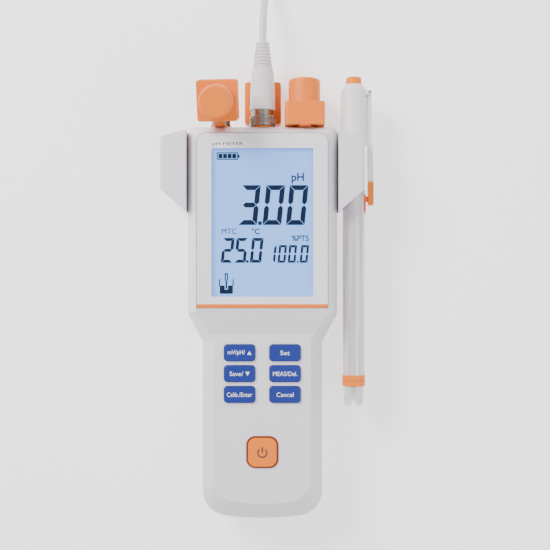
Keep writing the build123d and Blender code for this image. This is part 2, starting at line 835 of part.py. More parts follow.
def wing(side):
    """Side wing with a channel along the case that is open on its outer side."""
    with BuildPart() as block:
        with BuildSketch(Plane.XY.offset(wing_low_height)):
            with BuildLine():
                Polyline(
                    (side * wing_inner, wing_top),
                    (side * (wing_outer - 1.6), wing_top - wing_top_fall),
                    (side * wing_outer, wing_top - wing_top_fall - 1.6),
                    (side * wing_outer, wing_low + wing_tail_rise),
                    (side * wing_inner, wing_low),
                    close=True,
                )
            make_face()
        extrude(amount=wing_high_height - wing_low_height)
        outer_edges = block.faces().filter_by(Axis.X).sort_by(Axis.X)[-1 if side > 0 else 0].edges()
        fillet(outer_edges.filter_by(Axis.Y), wing_round)
        with BuildSketch(Plane.XZ.offset(-wing_top - 1)):
            with Locations((side * electrode_x, socket_height)):
                Circle(channel_radius)
        extrude(amount=wing_length + 2, mode=Mode.SUBTRACT)
        with BuildSketch(Plane.XZ.offset(-wing_top - 1)):
            with Locations((side * electrode_x, socket_height)):
                Circle(head_radius + slide_gap)
        extrude(amount=head_seat_depth + 1, mode=Mode.SUBTRACT)
        # posts that reach into the case
        with BuildSketch(Plane.YZ.offset(side * (wing_inner + 0.1))):
            with Locations([(wing_middle + step, wing_post_height) for step in wing_posts]):
                Circle(wing_post_radius)
        extrude(amount=-side * (wing_gap + wall + 0.1))
        with BuildSketch(Plane.YZ.offset(side * (wing_inner + 1.5))):
            with Locations([(wing_middle + step, wing_post_height) for step in wing_posts]):
                Circle(wing_screw_radius)
        extrude(amount=-side * (wing_gap + wall + 3), mode=Mode.SUBTRACT)
    return block.part


def wing_screws(side):
    """Screws inside the case that hold one wing."""
    with BuildPart() as screws:
        with BuildSketch(Plane.YZ.offset(side * (wing_inner + 1.2))):
            with Locations([(wing_middle + step, wing_post_height) for step in wing_posts]):
                Circle(wing_screw_radius - 0.05)
        extrude(amount=-side * (wing_gap + wall + 1.3))
        with BuildSketch(Plane.YZ.offset(side * (head_half - wall))):
            with Locations([(wing_middle + step, wing_post_height) for step in wing_posts]):
                Circle(wing_post_radius + 0.8)
        extrude(amount=-side * 1.2)
    return screws.part


save(wing(-1), "left_wing")
save(wing(1), "right_wing")
save(wing_screws(-1), "left_wing_screws")
save(wing_screws(1), "right_wing_screws")

# ---------------------------------------------------------------- electrode
head_low = wing_top - head_seat_depth + 0.1
head_high = head_low + electrode_head_length
shaft_low = head_low - shaft_length
ring_low = shaft_low - ring_length
guard_low = ring_low - guard_length
shaft_socket = 8.0        # how far the shaft reaches up into the head
hinge_x = electrode_x + head_radius + lever_gap + lever_width / 2
lever_hinge_y = head_high - lever_top
stopper_low = lever_hinge_y - lever_length - stopper_length
refill_y = stopper_low + plug_height

electrode_cap = turned([
    (0, head_high), (top_cap_radius, head_high), (top_cap_radius, head_high + top_cap_height - 0.8),
    (top_cap_radius - 0.8, head_high + top_cap_height), (0, head_high + top_cap_height),
], electrode_x)
save(electrode_cap, "electrode_cap")

head_blank = turned([
    (shaft_radius, head_low), (head_radius - 0.3, head_low), (head_radius, head_low + 0.3),
    (head_radius, head_high - head_shoulder), (head_radius - 0.9, head_high - head_shoulder / 2),
    (top_cap_radius + 0.5, head_high), (0, head_high), (0, head_low + shaft_socket),
    (shaft_radius, head_low + shaft_socket),
], electrode_x)
ear_height = lever_depth + 2 * lever_gap
with BuildPart() as electrode_head:
    add(head_blank)
    with BuildSketch(Plane.XY.offset(socket_height - ear_height / 2 - 1.2)):
        with Locations((hinge_x - 1.6, lever_hinge_y)):
            Rectangle(3.2, 2.6)
        with Locations((hinge_x, lever_hinge_y)):
            Circle(1.3)
    extrude(amount=ear_height + 2.4)
    with BuildSketch(Plane.XY.offset(socket_height - ear_height / 2)):
        with Locations((hinge_x, lever_hinge_y)):
            Rectangle(2 * (hinge_x - electrode_x - head_radius), 6)
    extrude(amount=ear_height, mode=Mode.SUBTRACT)
    with BuildSketch(Plane.XY.offset(socket_height - ear_height / 2 - 2)):
        with Locations((hinge_x, lever_hinge_y)):
            Circle(lever_pin_radius)
    extrude(amount=ear_height + 4, mode=Mode.SUBTRACT)
save(electrode_head.part, "electrode_head")

shaft_blank = turned([
    (shaft_bore_radius, shaft_low), (shaft_radius, shaft_low),
    (shaft_radius, head_low + shaft_socket), (shaft_bore_radius, head_low + shaft_socket),
], electrode_x)
with BuildPart() as electrode_shaft:
    add(shaft_blank)
    with BuildSketch(Plane.YZ.offset(electrode_x + shaft_bore_radius - 1)):
        with Locations((refill_y, socket_height)):
            Circle(plug_radius + slide_gap)
    extrude(amount=3, mode=Mode.SUBTRACT)
save(electrode_shaft.part, "electrode_shaft")

with BuildPart() as refill_grommet:
    with BuildSketch(Plane.YZ.offset(electrode_x)):
        with Locations((refill_y - 2.4, socket_height)):
            SlotOverall(4 * grommet_radius, 2 * grommet_radius)
        with Locations((refill_y, socket_height)):
            Circle(plug_radius + slide_gap, mode=Mode.SUBTRACT)
    extrude(amount=shaft_radius + grommet_height)
    add(turned([
        (0, shaft_low), (shaft_radius, shaft_low), (shaft_radius, head_low), (0, head_low),
    ], electrode_x), mode=Mode.SUBTRACT)
save(refill_grommet.part, "refill_grommet")

electrode_ring = turned([
    (shaft_bore_radius, ring_low), (ring_radius - 0.3, ring_low), (ring_radius, ring_low + 0.3),
    (ring_radius, ring_low + ring_length / 2 - 0.25), (ring_radius - 0.3, ring_low + ring_length / 2),
    (ring_radius, ring_low + ring_length / 2 + 0.25), (ring_radius, shaft_low - 0.3),
    (ring_radius - 0.3, shaft_low), (stem_radius, shaft_low), (stem_radius, shaft_low - 1.5),
    (shaft_bore_radius, shaft_low - 1.5),
], electrode_x)
save(electrode_ring, "electrode_ring")

guard_blank = turned([
    (guard_end_radius - guard_wall, guard_low), (guard_end_radius, guard_low),
    (guard_radius, guard_low + 3.2), (guard_radius, ring_low), (guard_radius - guard_wall, ring_low),
    (guard_radius - guard_wall, guard_low + 3.4),
], electrode_x)
with BuildPart() as electrode_guard:
    add(guard_blank)
    with BuildSketch(Plane.XZ.offset(-guard_low + 1)):
        with Locations((electrode_x, socket_height)):
            Rectangle(2.4, 4 * guard_radius)
            Rectangle(4 * guard_radius, 2.4)
    extrude(amount=-guard_length / 2, mode=Mode.SUBTRACT)
save(electrode_guard.part, "electrode_guard")

bulb_low = guard_low + 2.0
glass_stem = turned([
    (0, bulb_low), (stem_radius * 0.7, bulb_low + 0.35), (stem_radius, bulb_low + 1.6),
    (stem_radius, head_low), (stem_radius - 0.6, head_low), (stem_radius - 0.6, bulb_low + 1.8),
    (0, bulb_low + 0.8),
], electrode_x)
save(glass_stem, "glass_stem")

inner_wire = turned([
    (0, bulb_low + 2.6), (inner_wire_radius, bulb_low + 3), (inner_wire_radius, head_low + 4),
    (0, head_low + 4),
], electrode_x)
save(inner_wire, "inner_wire")

# ---------------------------------------------------------------- refill lever and its stopper
lever_inner = hinge_x - lever_width / 2
with BuildPart() as refill_lever:
    with BuildSketch(Plane.XY.offset(socket_height - lever_depth / 2)):
        with BuildLine():
            Polyline(
                (lever_inner, lever_hinge_y),
                (lever_inner + 0.3, lever_hinge_y - lever_length),
                (lever_inner + 0.3 + lever_tail_width, lever_hinge_y - lever_length),
                (lever_inner + lever_width, lever_hinge_y),
                close=True,
            )
        make_face()
        with Locations((hinge_x, lever_hinge_y)):
            Circle(lever_width / 2)
            Circle(lever_pin_radius + 0.05, mode=Mode.SUBTRACT)
    extrude(amount=lever_depth)
save(refill_lever.part, "refill_lever")

with BuildPart() as lever_pin:
    with BuildSketch(Plane.XY.offset(socket_height - ear_height / 2 - 1.2)):
        with Locations((hinge_x, lever_hinge_y)):
            Circle(lever_pin_radius)
    extrude(amount=ear_height + 2.4)
save(lever_pin.part, "lever_pin")

stopper_x = lever_inner + 0.3 + lever_tail_width / 2
plug_tip = electrode_x + shaft_radius - plug_seat
with BuildPart() as refill_stopper:
    with BuildSketch(Plane.XY.offset(socket_height - lever_depth / 2)):
        with Locations((stopper_x, stopper_low + stopper_length / 2)):
            RectangleRounded(stopper_width, stopper_length, 0.8)
    extrude(amount=lever_depth)
    with BuildSketch(Plane.YZ.offset(plug_tip)):
        with Locations((refill_y, socket_height)):
            Circle(plug_radius)
    extrude(amount=stopper_x - plug_tip)
save(refill_stopper.part, "refill_stopper")

# ---------------------------------------------------------------- batteries and their contacts
cell_pitch = 2 * cell_radius + cell_gap
cell_height = door_thickness + slide_gap + 0.25 + cell_radius
cell_columns = [(index - (cell_count - 1) / 2) * cell_pitch for index in range(cell_count)]
cell_low = bay_low + contact_thickness + 0.1
cell_high = cell_low + cell_length
with BuildPart() as batteries:
    with BuildSketch(Plane.XZ.offset(-cell_low)):
        with Locations([(x, cell_height) for x in cell_columns]):
            Circle(cell_radius)
    extrude(amount=-cell_length)
    fillet(batteries.edges(), 0.6)
    with BuildSketch(Plane.XZ.offset(-cell_high)):
        with Locations([(x, cell_height) for x in cell_columns]):
            Circle(cell_tip_radius)
    extrude(amount=-cell_tip_length)
save(batteries.part, "batteries")

with BuildPart() as battery_contacts:
    with BuildSketch(Plane.XZ.offset(-bay_low - 0.05)):
        with Locations([(x, cell_height) for x in cell_columns]):
            RectangleRounded(1.5 * cell_radius, 1.5 * cell_radius, 1)
    extrude(amount=-contact_thickness)
    spring_start = cell_high + cell_tip_length + 0.1
    with BuildSketch(Plane.XZ.offset(-bay_top + 0.05)):
        with Locations([(x, cell_height) for x in cell_columns]):
            Circle(spring_radius)
    extrude(amount=bay_top - 0.05 - spring_start, taper=30)
save(battery_contacts.part, "battery_contacts")

# ---------------------------------------------------------------- battery door
rear_blank = rear_form(0)
with BuildPart() as battery_door:
    add(rear_blank)
    with BuildSketch(Plane.XY):
        with Locations((0, (door_end - slide_gap + bottom - 10) / 2)):
            Rectangle(2 * door_half, door_end - slide_gap - bottom + 10)
    extrude(amount=door_thickness, mode=Mode.INTERSECT)
    with BuildSketch(Plane.XY.offset(door_lip + slide_gap / 2)):
        with Locations((0, (door_end - slide_gap + bay_low) / 2)):
            Rectangle(2 * (door_half + door_tongue), door_end - slide_gap - bay_low)
    extrude(amount=door_thickness - door_lip - slide_gap / 2)
    # grip ridges, cut as shallow grooves
    with BuildSketch(Plane.XY):
        with Locations([(0, bay_low + 8 + 2.4 * row) for row in range(5)]):
            Rectangle(20, 1.0)
    extrude(amount=0.5, mode=Mode.SUBTRACT)
save(battery_door.part, "battery_door")

# ---------------------------------------------------------------- screws
with BuildPart() as case_screw_set:
    with BuildSketch(Plane.XY.offset(screw_recess - screw_head_height)):
        with Locations(case_screws):
            Circle(screw_head_radius)
    extrude(amount=screw_head_height)
    with BuildSketch(Plane.XY.offset(screw_recess)):
        with Locations(case_screws):
            Circle(screw_radius - 0.02)
    extrude(amount=screw_length)
    with BuildSketch(Plane.XY.offset(screw_recess - screw_head_height)):
        with Locations(case_screws):
            Rectangle(2.6, 0.6)
            Rectangle(0.6, 2.6)
    extrude(amount=0.9, mode=Mode.SUBTRACT)
save(case_screw_set.part, "case_screws")

with BuildPart() as board_screw_set:
    with BuildSketch(Plane.XY.offset(board_top)):
        with Locations(board_screws):
            Circle(board_screw_head_radius)
    extrude(amount=board_screw_head_height)
    with BuildSketch(Plane.XY.offset(board_top)):
        with Locations(board_screws):
            Circle(board_screw_radius)
    extrude(amount=-board_thickness - board_screw_length + 0.2)
save(board_screw_set.part, "board_screws")

# ---------------------------------------------------------------- lead
# It leaves the strain relief, comes down to the bench and runs into a coil.
coil_bends = 11.0         # diameters across the middle of the coil's turns
coil_x = -25.2
coil_y = 222.0
lead_points = [
    (0.0, 153.45, 19.0),
    (0.0, 164.5, 19.0),
    (0.8, 176.5, 14.5),
    (1.6, 189.0, 6.5),
    (2.0, 202.0, 2.1),
    (2.0, 214.0, 2.1),
]
cable = 2 * cable_radius
coil_middle = coil_bends * cable_radius
coil_inner = coil_middle - 1.5 * cable
coil_outer = coil_middle + 1.5 * cable
tie_width = 9.0
tie_thickness = 0.6


def bend_radii(points):
    """Radius at each corner: 0.45 of the shorter run over the tangent of half the turn."""
    radii = []
    for before, here, after in zip(points, points[1:], points[2:]):
        first = Vector(*here) - Vector(*before)
        second = Vector(*after) - Vector(*here)
        turn = radians(first.get_angle(second))
        radii.append(0.45 * min(first.length, second.length) / tan(turn / 2))
    return radii


radii = bend_radii(lead_points)
print("lead bend radii", [round(radius, 1) for radius in radii])
with BuildPart() as lead_tube:
    with BuildLine() as lead_path:
        FilletPolyline(*lead_points, radius=radii)
    with BuildSketch(Plane(origin=lead_path.wires()[0] @ 0, z_dir=lead_path.wires()[0] % 0)):
        Circle(cable_radius)
    sweep()
section = pi * cable_radius ** 2
lead_run = lead_path.wires()[0].length
print("lead length", round(lead_run, 2), "from volume", round(lead_tube.part.volume / section, 2))
save(lead_tube.part, "lead_tube")

tie_angle = 205.0
tie_plane = Plane(origin=(coil_x, coil_y, 0)).rotated((0, 0, tie_angle))
with BuildPart() as lead_coil:
    with BuildSketch(Plane.XY):
        with Locations((coil_x, coil_y)):
            Circle(coil_outer)
            Circle(coil_inner, mode=Mode.SUBTRACT)
    extrude(amount=2 * cable)
    with BuildSketch(tie_plane):
        with Locations((coil_middle, 0)):
            Rectangle(4 * cable, tie_width + 0.4)
    extrude(amount=tie_thickness + 0.1, mode=Mode.SUBTRACT)
save(lead_coil.part, "lead_coil")

tie_span = 3 * cable + 1.0
with BuildPart() as lead_tie:
    with BuildSketch(tie_plane):
        with Locations((coil_middle, 0)):
            Rectangle(tie_span + 2 * tie_thickness, tie_width)
    extrude(amount=2 * cable + tie_thickness + 0.2)
    with BuildSketch(tie_plane.offset(tie_thickness)):
        with Locations((coil_middle, 0)):
            Rectangle(tie_span, tie_width)
    extrude(amount=2 * cable - 0.5, mode=Mode.SUBTRACT)
save(lead_tie.part, "lead_tie")

# the end of the lead leaves the top of the coil and carries the electrode's connector
tail_angle = 340.0
tail_skip = 10.0          # from where the lead leaves its turn to where it clears the coil
tail_length = 12.0
tail_height = 3 * cable_radius
radial = Vector(1, 0, 0).rotate(Axis.Z, tail_angle)
along_tail = Vector(0, 1, 0).rotate(Axis.Z, tail_angle)
tail_start = Vector(coil_x, coil_y, tail_height) + radial * (coil_middle + cable) + along_tail * tail_skip
with BuildPart() as lead_tail:
    with BuildSketch(Plane(origin=tail_start, z_dir=along_tail)):
        Circle(cable_radius)
    extrude(amount=tail_length)
save(lead_tail.part, "lead_tail")

connector_relief = 11.0
connector_length = 21.0
connector_radius = tail_height
connector_plane = Plane(origin=tail_start + along_tail * tail_length, z_dir=along_tail)
with BuildPart() as lead_connector:
    with BuildSketch(connector_plane):
        Circle(cable_radius + 0.7)
    with BuildSketch(connector_plane.offset(connector_relief)):
        Circle(connector_radius - 1.6)
    loft()
    with BuildSketch(connector_plane.offset(connector_relief)):
        Circle(connector_radius)
    extrude(amount=connector_length)
    with BuildSketch(connector_plane.offset(connector_relief + connector_length)):
        Circle(connector_radius - 1.4)
    extrude(amount=-12, mode=Mode.SUBTRACT)
    with BuildSketch(connector_plane.offset(connector_relief + connector_length - 12)):
        Circle(2.0)
    extrude(amount=8)
save(lead_connector.part, "lead_connector")
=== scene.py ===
"""Looks for a hand-held ph meter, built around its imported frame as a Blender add-on."""
import math

import bmesh
import bpy
from mathutils import Matrix, Vector


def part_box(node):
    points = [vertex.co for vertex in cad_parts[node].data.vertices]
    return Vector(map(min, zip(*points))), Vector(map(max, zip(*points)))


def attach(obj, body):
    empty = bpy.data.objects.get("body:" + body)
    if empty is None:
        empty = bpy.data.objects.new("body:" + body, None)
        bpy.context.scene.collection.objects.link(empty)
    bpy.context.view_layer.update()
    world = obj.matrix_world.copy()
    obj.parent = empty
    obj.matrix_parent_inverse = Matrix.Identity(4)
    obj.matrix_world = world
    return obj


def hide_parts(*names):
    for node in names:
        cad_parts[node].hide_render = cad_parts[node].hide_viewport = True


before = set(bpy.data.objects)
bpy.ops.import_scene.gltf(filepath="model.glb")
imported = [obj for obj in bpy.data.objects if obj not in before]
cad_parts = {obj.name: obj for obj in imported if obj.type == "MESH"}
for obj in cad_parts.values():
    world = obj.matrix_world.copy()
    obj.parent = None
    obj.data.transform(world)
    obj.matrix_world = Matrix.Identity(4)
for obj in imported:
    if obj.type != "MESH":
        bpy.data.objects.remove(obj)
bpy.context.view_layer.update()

bl_info = {
    "name": "Ph Meter Finishes",
    "version": (1, 0, 0),
    "blender": (4, 5, 0),
    "location": "View3D > Sidebar > Ph Meter",
    "description": "Finishes, display, key legends and lead of a hand-held ph meter",
    "category": "Object",
}

MM = 0.001
PRINT_GRAIN = 0.000004
CAPITAL_SHARE = 0.70        # height of the font's capitals in its size
LETTER_RISE = 0.00004
TAIL_ANGLE = 340            # where the lead leaves its coil, in degrees
TAIL_REACHES = (0.0, 11.0, 22.0)
TURN_STEPS = 20
BENCH_HALF = 3.0


# ---------------------------------------------------------------- shader arithmetic
class Term:
    """One shader socket that takes part in Python arithmetic."""

    def __init__(self, finish, socket):
        self.finish = finish
        self.socket = socket

    def _math(self, operation, first, second):
        node = self.finish.node("ShaderNodeMath", {"operation": operation}, [first, second])
        return node.out()

    def __add__(self, other):
        return self._math("ADD", self, other)

    def __radd__(self, other):
        return self._math("ADD", other, self)

    def __sub__(self, other):
        return self._math("SUBTRACT", self, other)

    def __rsub__(self, other):
        return self._math("SUBTRACT", other, self)

    def __mul__(self, other):
        return self._math("MULTIPLY", self, other)

    def __rmul__(self, other):
        return self._math("MULTIPLY", other, self)

    def clamp(self, low=0.0, high=1.0):
        """The term, held between two limits."""
        return self._math("MINIMUM", self._math("MAXIMUM", self, low), high)

    def wave(self):
        """Sine of the term."""
        return self.finish.node("ShaderNodeMath", {"operation": "SINE"}, [self]).out()


class Made:
    """A node that a finish has made, with its outputs as terms."""

    def __init__(self, finish, node):
        self.finish = finish
        self.node = node

    def out(self, name=0):
        """One output as a term."""
        return Term(self.finish, self.node.outputs[name])


class Finish:
    """One material: a principled shader and the nodes that feed it."""

    def __init__(self, name, colour, roughness, **fixed):
        self.material = bpy.data.materials.new(name)
        self.material.use_nodes = True
        self.tree = self.material.node_tree
        self.shader = self.tree.nodes["Principled BSDF"]
        self.set("Base Color", colour)
        self.set("Roughness", roughness)
        for socket, value in fixed.items():
            self.set(socket.replace("_", " "), value)

    def node(self, kind, settings=None, inputs=()):
        """Add a node: its settings first, then the values or links of its sockets."""
        node = self.tree.nodes.new(kind)
        for key, value in (settings or {}).items():
            if key == "stops":
                self._stops(node.color_ramp, value)
            else:
                setattr(node, key, value)
        pairs = inputs.items() if isinstance(inputs, dict) else enumerate(inputs)
        for key, value in pairs:
            self._feed(node.inputs[key], value)
        return Made(self, node)

    def _stops(self, ramp, stops):
        while len(ramp.elements) < len(stops):
            ramp.elements.new(1.0)
        for element, (place, shade) in zip(ramp.elements, stops):
            element.position = place
            element.color = (shade, shade, shade, 1.0)

    def _feed(self, socket, value):
        if isinstance(value, Term):
            self.tree.links.new(value.socket, socket)
        elif isinstance(value, (tuple, list)) and len(value) == 3 and len(socket.default_value) == 4:
            socket.default_value = (*value, 1.0)
        else:
            socket.default_value = value

    def set(self, name, value):
        """Give one socket of the shader a value or a link."""
        self._feed(self.shader.inputs[name], value)

    def place(self):
        """Position on the piece, in metres."""
        return self.node("ShaderNodeTexCoord").out("Object")

    def part(self, axis):
        """One coordinate of the position on the piece."""
        return self.node("ShaderNodeSeparateXYZ", None, [self.place()]).out(axis)

    def noise(self, size, detail=3.0, rough=0.55, stretch=None):
        """Noise whose features are about one size across, in metres."""
        where = self.place()
        if stretch:
            where = self.node("ShaderNodeMapping", None, {"Vector": where, "Scale": stretch}).out()
        made = self.node("ShaderNodeTexNoise", None, {
            "Vector": where, "Scale": 1.0 / size, "Detail": detail, "Roughness": rough,
        })
        return made.out("Fac")

    def mix(self, amount, first, second, blend="MIX"):
        """Blend of two colours."""
        made = self.node("ShaderNodeMix", {"data_type": "RGBA", "blend_type": blend}, {
            0: amount, 6: first, 7: second,
        })
        return made.out(2)

    def bump(self, height, depth, strength=1.0):
        """Feed the shader's normal from a height between 0 and 1."""
        made = self.node("ShaderNodeBump", None, {
            "Height": height, "Distance": depth, "Strength": strength,
        })
        self.set("Normal", made.out())


def tint(red, green, blue):
    """Linear colour from the 0 to 255 values of a paint chart."""
    linear = []
    for value in (red, green, blue):
        share = value / 255
        linear.append(share / 12.92 if share <= 0.04045 else ((share + 0.055) / 1.055) ** 2.4)
    return tuple(linear)


def shade(colour, amount):
    """A colour made darker or lighter."""
    return tuple(min(1.0, value * amount) for value in colour)


# ---------------------------------------------------------------- finishes
def moulded(name, colour, roughness=0.42, grain=0.00035, depth=0.00002, mottle=0.04, coat=0.0, shine=0.5):
    """Moulded plastic: a fine spark-eroded grain, faint flow mottle and handling sheen."""
    finish = Finish(name, colour, roughness, Coat_Weight=coat, Coat_Roughness=0.2, IOR=1.5,
                    Specular_IOR_Level=shine)
    flow = finish.noise(0.03, 4)
    speck = finish.noise(grain, 2)
    worn = finish.noise(0.012, 5, 0.65)
    finish.set("Base Color", finish.mix(flow * mottle * 2 + speck * mottle, colour, shade(colour, 0.86)))
    finish.set("Roughness", (worn * 0.16 + (roughness - 0.08) + speck * 0.05).clamp())
    finish.bump(speck + flow * 0.4, depth)
    return finish.material


def rubber(name, colour, roughness=0.55, bloom=0.10, depth=0.00003):
    """Silicone rubber: soft sheen, a dusty bloom and fine moulding texture."""
    finish = Finish(name, colour, roughness, Sheen_Weight=0.05, Sheen_Roughness=0.5, IOR=1.45)
    dust = finish.noise(0.006, 6, 0.7)
    speck = finish.noise(0.00045, 2)
    pale = tuple(value * 0.93 + 0.07 for value in colour)
    finish.set("Base Color", finish.mix((dust * bloom * 1.6 + speck * bloom * 0.4).clamp(), colour, pale))
    finish.set("Roughness", (dust * 0.22 + (roughness - 0.11)).clamp())
    finish.bump(speck * 0.6 + dust * 0.6, depth)
    return finish.material


def metal(name, colour, roughness=0.24, brushed=(1.0, 1.0, 1.0)):
    """Plated metal: fine tool lines, a few stains and worn patches."""
    finish = Finish(name, colour, roughness, Metallic=1.0)
    lines = finish.noise(0.0004, 3, 0.6, brushed)
    stain = finish.noise(0.004, 5, 0.7)
    finish.set("Base Color", finish.mix(stain * 0.5, colour, shade(colour, 0.72)))
    finish.set("Roughness", (lines * 0.12 + stain * 0.14 + (roughness - 0.1)).clamp(0.08))
    finish.bump(lines, 0.00001)
    return finish.material


def clear(name, colour, alpha, roughness=0.06):
    """Clear moulding: mostly see-through, with a gloss and faint haze."""
    finish = Finish(name, colour, roughness, IOR=1.49, Coat_Weight=0.6, Coat_Roughness=0.04)
    haze = finish.noise(0.004, 5, 0.7)
    finish.set("Alpha", (haze * alpha * 0.6 + alpha * 0.7).clamp())
    finish.set("Roughness", (haze * 0.08 + roughness).clamp())
    return finish.material


def screen(name, colour):
    """Backlit display glass: pale, a touch brighter in broad soft patches; its glow stands for the backlight
    and is partly painted light.
    """
    # Painted light: the emission stands for the backlight and also lifts the glass so that the frame's shade
    # does not darken it.
    finish = Finish(name, colour, 0.3, Emission_Strength=0.45)
    glow = finish.noise(0.05, 1)
    rows = (finish.part("Y") * (2 * math.pi / 0.0006)).wave()
    tone = finish.mix((glow * 0.25 + rows * 0.02 + 0.04).clamp(), colour, shade(colour, 1.12))
    finish.set("Base Color", tone)
    finish.set("Emission Color", tone)
    return finish.material


def streaked_tube(name, colour, edge_shade_colour):
    """Translucent shaft: pale, with long faint darker streaks; the streaks are painted shade in the grey of
    the shaft's shaded edges.
    """
    finish = Finish(name, colour, 0.22, Coat_Weight=0.5, Coat_Roughness=0.08, IOR=1.5)
    lines = finish.noise(0.0011, 2, 0.5, (1.0, 0.012, 1.0))
    cloud = finish.noise(0.02, 3)
    bands = finish.node("ShaderNodeValToRGB", {"stops": [(0.42, 0.0), (0.62, 1.0)]}, [lines]).out()
    # Painted shade: the darker grey-mauve streaks copy the shading on the shaft's edges.
    finish.set("Base Color", finish.mix((bands * 0.42 + cloud * 0.14).clamp(), colour, edge_shade_colour))
    finish.set("Roughness", (cloud * 0.12 + 0.16).clamp())
    finish.bump(lines, 0.00001)
    return finish.material


def circuit(name, colour):
    """Solder mask over copper tracks."""
    finish = Finish(name, colour, 0.35, Coat_Weight=0.4, Coat_Roughness=0.15)
    tracks = finish.node("ShaderNodeTexBrick", None, {
        "Vector": finish.place(), "Scale": 160.0, "Mortar Size": 0.03,
        "Color1": shade(colour, 0.8), "Color2": shade(colour, 1.3), "Mortar": shade(colour, 2.2),
    })
    finish.set("Base Color", tracks.out("Color"))
    finish.bump(tracks.out("Fac"), 0.00003)
    return finish.material


def benchtop(name, colour):
    """Pale bench under the meter."""
    finish = Finish(name, colour, 0.7, Emission_Color=colour, Emission_Strength=0.8)
    cloud = finish.noise(0.4, 2)
    finish.set("Base Color", finish.mix(cloud * 0.2, colour, shade(colour, 0.97)))
    return finish.material


# ---------------------------------------------------------------- mesh helpers
def piece(name, body, material, build):
    """Make a mesh piece: build fills a bmesh in metres, in the row frame."""
    mesh = bpy.data.meshes.new(name)
    shape = bmesh.new()
    build(shape)
    bmesh.ops.recalc_face_normals(shape, faces=shape.faces)
    shape.to_mesh(mesh)
    shape.free()
    made = bpy.data.objects.new(name, mesh)
    bpy.context.scene.collection.objects.link(made)
    mesh.materials.append(material)
    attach(made, body)
    return made


def slab(shape, outline, low, high):
    """A flat slab from an outline of (x, y) points, between two heights."""
    lower = [shape.verts.new((x, y, low)) for x, y in outline]
    upper = [shape.verts.new((x, y, high)) for x, y in outline]
    shape.faces.new(list(reversed(lower)))
    shape.faces.new(upper)
    count = len(outline)
    for index in range(count):
        after = (index + 1) % count
        shape.faces.new((lower[index], lower[after], upper[after], upper[index]))


def ring_outline(middle, outer, inner, start, stop, steps):
    """Outline of an arc-shaped band about a middle point, between two angles in degrees."""
    angles = [math.radians(start + (stop - start) * step / steps) for step in range(steps + 1)]
    far = [(middle[0] + outer * math.cos(a), middle[1] + outer * math.sin(a)) for a in angles]
    near = [(middle[0] + inner * math.cos(a), middle[1] + inner * math.sin(a)) for a in angles]
    return far + near[::-1]


def lettering(name, words, body, material, middle, height, span=0.0, anchor="CENTER", weight=0.0):
    """Raised lettering: its capitals are one height tall, and its width is held to a span."""
    curve = bpy.data.curves.new(name, "FONT")
    curve.body = words
    curve.size = height / CAPITAL_SHARE
    curve.align_x = anchor
    curve.align_y = "CENTER"
    curve.extrude = LETTER_RISE
    curve.offset = height * weight
    made = bpy.data.objects.new(name, curve)
    bpy.context.scene.collection.objects.link(made)
    bpy.context.view_layer.update()
    mesh = bpy.data.meshes.new_from_object(made.evaluated_get(bpy.context.evaluated_depsgraph_get()))
    bpy.data.objects.remove(made)
    xs = [vertex.co.x for vertex in mesh.vertices]
    ys = [vertex.co.y for vertex in mesh.vertices]
    width = max(xs) - min(xs)
    squeeze = span / width if span and width > 0 else 1.0
    across = (max(xs) + min(xs)) / 2 if anchor == "CENTER" else min(xs)
    shift = Matrix.Translation((-across, -(max(ys) + min(ys)) / 2, 0))
    mesh.transform(Matrix.Translation(middle) @ Matrix.Diagonal((squeeze, 1, 1, 1)) @ shift)
    letters = bpy.data.objects.new(name, mesh)
    bpy.context.scene.collection.objects.link(letters)
    mesh.materials.clear()
    mesh.materials.append(material)
    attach(letters, body)
    return letters


def paint(material, *nodes):
    """Give CAD nodes one material in place of their own."""
    for node in nodes:
        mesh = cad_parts[node].data
        mesh.materials.clear()
        mesh.materials.append(material)


# ---------------------------------------------------------------- settings
def colour_property(name, description, default):
    """A colour that the panel shows."""
    return bpy.props.FloatVectorProperty(
        name=name, description=description, subtype="COLOR", size=3, min=0.0, max=1.0, default=default)


def length_property(name, description, default):
    """A length that the panel shows."""
    return bpy.props.FloatProperty(
        name=name, description=description, unit="LENGTH", min=0.0, default=default, precision=5)


class MeterColours(bpy.types.PropertyGroup):
    """Colours of the meter's mouldings and prints."""

    case: colour_property("Case", "Off-white case plastic", tint(228, 224, 230))
    window: colour_property("Window", "Print around the display", tint(236, 235, 242))
    display: colour_property("Display", "Backlit display", (0.20, 0.42, 0.92))
    digits: colour_property("Digits", "Segments of the display", (0.0, 0.001, 0.012))
    keys: colour_property("Keys", "Blue keys", (0.0, 0.016, 0.22))
    orange: colour_property("Orange", "Caps, stripe and power key", (0.86, 0.19, 0.0))
    legends: colour_property("Legends", "Print on the keys", tint(236, 240, 246))
    lead: colour_property("Lead", "Grey lead and its boot", tint(216, 211, 214))
    shaft: colour_property("Shaft", "Electrode shaft", tint(226, 217, 222))


class MeterSizes(bpy.types.PropertyGroup):
    """Sizes of the meter's prints and of its lead."""

    print_rise: length_property("Print rise", "How far prints stand off their surface", 0.05 * MM)
    legend_height: length_property("Legend height", "Capitals on the keys", 2.35 * MM)
    segment: length_property("Segment", "Stroke of the large digits", 2.6 * MM)
    cable: length_property("Cable", "Diameter of the lead", 4.2 * MM)
    lead: length_property("Lead", "Whole length of the lead", 0.87)


def colours():
    """The scene's colour settings."""
    return bpy.context.scene.meter_colours


def sizes():
    """The scene's size settings."""
    return bpy.context.scene.meter_sizes


# ---------------------------------------------------------------- case
class METER_OT_case(bpy.types.Operator):
    """Finish the shells, the wings and the battery door"""
    bl_idname = "meter.case"
    bl_label = "Case and Wings"

    def execute(self, context):
        plastic = moulded("case_plastic", tuple(colours().case), 0.46)
        paint(plastic, "front_shell", "rear_shell", "left_wing", "right_wing")
        paint(moulded("door_plastic", shade(colours().case, 0.97), 0.5), "battery_door")
        paint(rubber("gasket_rubber", tint(90, 90, 92)), "case_gasket")
        return {"FINISHED"}


